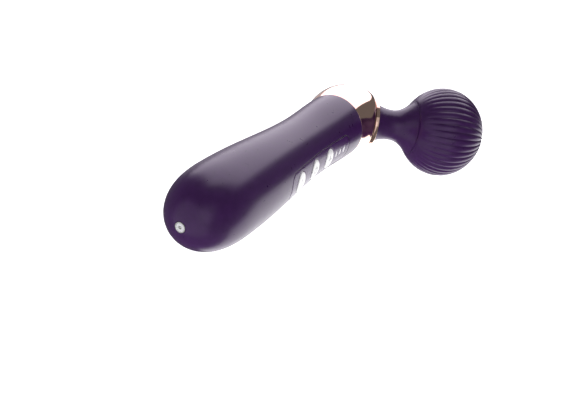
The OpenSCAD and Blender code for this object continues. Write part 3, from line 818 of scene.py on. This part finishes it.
def build_cap():
    lip, steps = 0.25, RIBS * RIB_STEPS
    start_w = -PARTING_W + BALL_GAP
    s0 = asin(start_w / HEAD_A)
    stations = [s0 + 0.012 + (pi / 2 - s0 - 0.012) * k / 92 for k in range(93)]
    points, faces, rings = [], [], []
    valley = [1 - (sin(pi * (k % RIB_STEPS) / RIB_STEPS) ** 2 + 0.004) ** VALLEY_CURVE for k in range(steps)]

    def rib_turn(k):
        return 2 * pi * (k + 0.5 * RIB_STEPS) / steps

    def ring_at(s):
        w0, r0 = HEAD_A * sin(s), HEAD_R * cos(s)
        nw, nr = sin(s) / HEAD_A, cos(s) / HEAD_R
        size = hypot(nw, nr)
        ring = []
        for k in range(steps):
            d = RIB_DEPTH * rib_fade(w0) * valley[k]
            ring.append(len(points))
            points.append(head_point(w0 - d * nw / size, r0 - d * nr / size, rib_turn(k)))
        return ring

    start_r = HEAD_R * cos(s0)
    edge = [(start_w, start_r - CAP_EDGE_T)]
    edge += [(start_w + down, start_r - off) for off, down in fillet(lip, (0, 30, 60))]
    for w, r in edge:
        rings.append(list(range(len(points), len(points) + steps)))
        points += [head_point(w, r, rib_turn(k)) for k in range(steps)]
    for s in stations[:-1]:
        rings.append(ring_at(s))
    for a, b in zip(rings, rings[1:]):
        bridge(faces, a, b)
    points.append(head_point(HEAD_A, 0.0, 0.0))
    pole = len(points) - 1
    faces += [(rings[-1][k], rings[-1][(k + 1) % steps], pole) for k in range(steps)]
    # the inner face of the cap, smooth
    inner_r, inner_a = HEAD_R - CAP_T, HEAD_A - CAP_T
    s1 = asin(start_w / inner_a)
    before = rings[0]
    for k in range(24):
        s = s1 + (pi / 2 - s1) * k / 24
        ring_points = [head_point(inner_a * sin(s), inner_r * cos(s), rib_turn(j)) for j in range(steps)]
        before = add_ring(points, faces, ring_points, before)
    points.append(head_point(inner_a, 0.0, 0.0))
    faces += [(before[(k + 1) % steps], before[k], len(points) - 1) for k in range(steps)]
    return make("head_cap_ribbed", points, faces, "head",
                FINISHES["silicone_purple"], ["head_cap"])


# ---------------------------------------------------------------- build

build_skin()
build_panel()
for number, place in enumerate(("rear", "middle", "front")):
    build_button(number, "button_" + place, place + "_button")
stroke_icon("icon_less", 0, [bar(0.0, 0.0, 0.3, 1.9)], "rear_button")
stroke_icon("icon_power", 1, [
    arc_band(0.0, 0.0, 1.35, 1.8, radians(120), radians(420)),
    bar(0.0, 1.55, 0.22, 0.85),
], "middle_button")
stroke_icon("icon_more", 2, [
    bar(0.0, 0.0, 0.3, 1.9),
    bar(1.1, 0.0, 0.72, 0.28),
    bar(-1.1, 0.0, 0.72, 0.28),
], "front_button")
build_lights()
build_contact()
build_collar()
build_neck_rings()
build_sleeve()
build_leads()
build_cap()

slot_of = {part["node"]: part["material_slot"] for part in frame["record"]["subparts"]}
for name, node in frame["nodes"].items():
    node.data.materials.clear()
    node.data.materials.append(FINISHES[slot_of[name]])


# ---------------------------------------------------------------- floor, camera and light

# low enough for the head to stay above the floor at the neck's limits
FLOOR_Z = -0.0315
WAND_MIDDLE = Vector((0.10, -0.01, 0.0))
COOL_WHITE = (0.97, 0.91, 1.0)
# the photo's point of view: the camera's place, its backward and right-hand directions, and its lens
CAMERA_PLACE = (-0.23306, -0.11522, 0.18696)
CAMERA_BACK, CAMERA_RIGHT = (-0.80939, -0.26933, 0.52187), (0.46815, -0.83243, 0.29646)
CAMERA_LENS, SENSOR_WIDTH = 49.9, 36.0


def build_floor():
    bm = bmesh.new()
    n, half = 24, 15.0
    steps = [half * (2 * i / n - 1) for i in range(n + 1)]
    grid = [[bm.verts.new((0.1 + x, y, FLOOR_Z)) for y in steps] for x in steps]
    for i in range(n):
        for j in range(n):
            bm.faces.new((grid[i][j], grid[i + 1][j], grid[i + 1][j + 1], grid[i][j + 1]))
    mesh = bpy.data.meshes.new("floor")
    bm.to_mesh(mesh)
    bm.free()
    floor = bpy.data.objects.new("floor", mesh)
    bpy.context.collection.objects.link(floor)
    mesh.materials.append(finish_of("floor_white", (0.93, 0.93, 0.93), 0.7, tint=0.01, grain=3, texture=60,
                                    bump=0.01, specular=0.2))
    glow = mesh.materials[0].node_tree.nodes["Principled BSDF"]
    glow.inputs["Emission Color"].default_value = (1.0, 1.0, 1.0, 1.0)
    glow.inputs["Emission Strength"].default_value = 1.0
    floor.visible_glossy = False
    floor.visible_shadow = False


def build_camera():
    camera = bpy.data.cameras.new("camera")
    camera.lens = CAMERA_LENS
    camera.sensor_width = SENSOR_WIDTH
    camera.sensor_fit = "HORIZONTAL"
    camera.clip_start = 0.01
    camera.clip_end = 50.0
    eye = bpy.data.objects.new("camera", camera)
    bpy.context.collection.objects.link(eye)
    back = Vector(CAMERA_BACK).normalized()
    right = Vector(CAMERA_RIGHT)
    right = (right - right.dot(back) * back).normalized()
    up = back.cross(right)
    turn = Matrix((right, up, back)).transposed().to_4x4()
    eye.matrix_world = Matrix.Translation(CAMERA_PLACE) @ turn
    bpy.context.scene.camera = eye


def card(name, turn, lift, distance, width, height, glow, roll=0.0, colour=(1.0, 1.0, 1.0)):
    """A flat softbox that faces the wand, seen from it in the direction turn, lift, with an even glow."""
    lamp = bpy.data.lights.new(name, "AREA")
    lamp.shape = "RECTANGLE"
    lamp.size, lamp.size_y = width, height
    lamp.energy = pi * width * height * glow
    lamp.color = colour
    holder = bpy.data.objects.new(name, lamp)
    bpy.context.collection.objects.link(holder)
    a, b = radians(turn), radians(lift)
    away = Vector((cos(b) * cos(a), cos(b) * sin(a), sin(b)))
    holder.location = WAND_MIDDLE + distance * away
    rolled = away.to_track_quat("Z", "Y") @ Quaternion((0.0, 0.0, 1.0), radians(roll))
    holder.rotation_euler = rolled.to_euler()


def build_light():
    card("far_card", 24, 34, 2.2, 2.46, 3.32, 2.1, roll=23.5, colour=COOL_WHITE)
    card("low_card", -32, -37.5, 1.5, 2.1, 1.5, 1.8, roll=-47)
    card("foot_card", 41, -8, 2.2, 0.9, 0.8, 0.38, roll=23.5, colour=COOL_WHITE)
    card("rear_card", 180, 0, 2.5, 6.6, 5.0, 0.45)
    card("side_card", -139, 33, 2.0, 1.3, 1.6, 0.35)
    world = bpy.data.worlds.new("studio")
    bpy.context.scene.world = world
    world.use_nodes = True
    background = world.node_tree.nodes["Background"]
    background.inputs["Color"].default_value = (1.0, 1.0, 1.0, 1.0)
    background.inputs["Strength"].default_value = 0.14


build_floor()
build_camera()
build_light()
bpy.context.scene.view_settings.view_transform = "Standard"
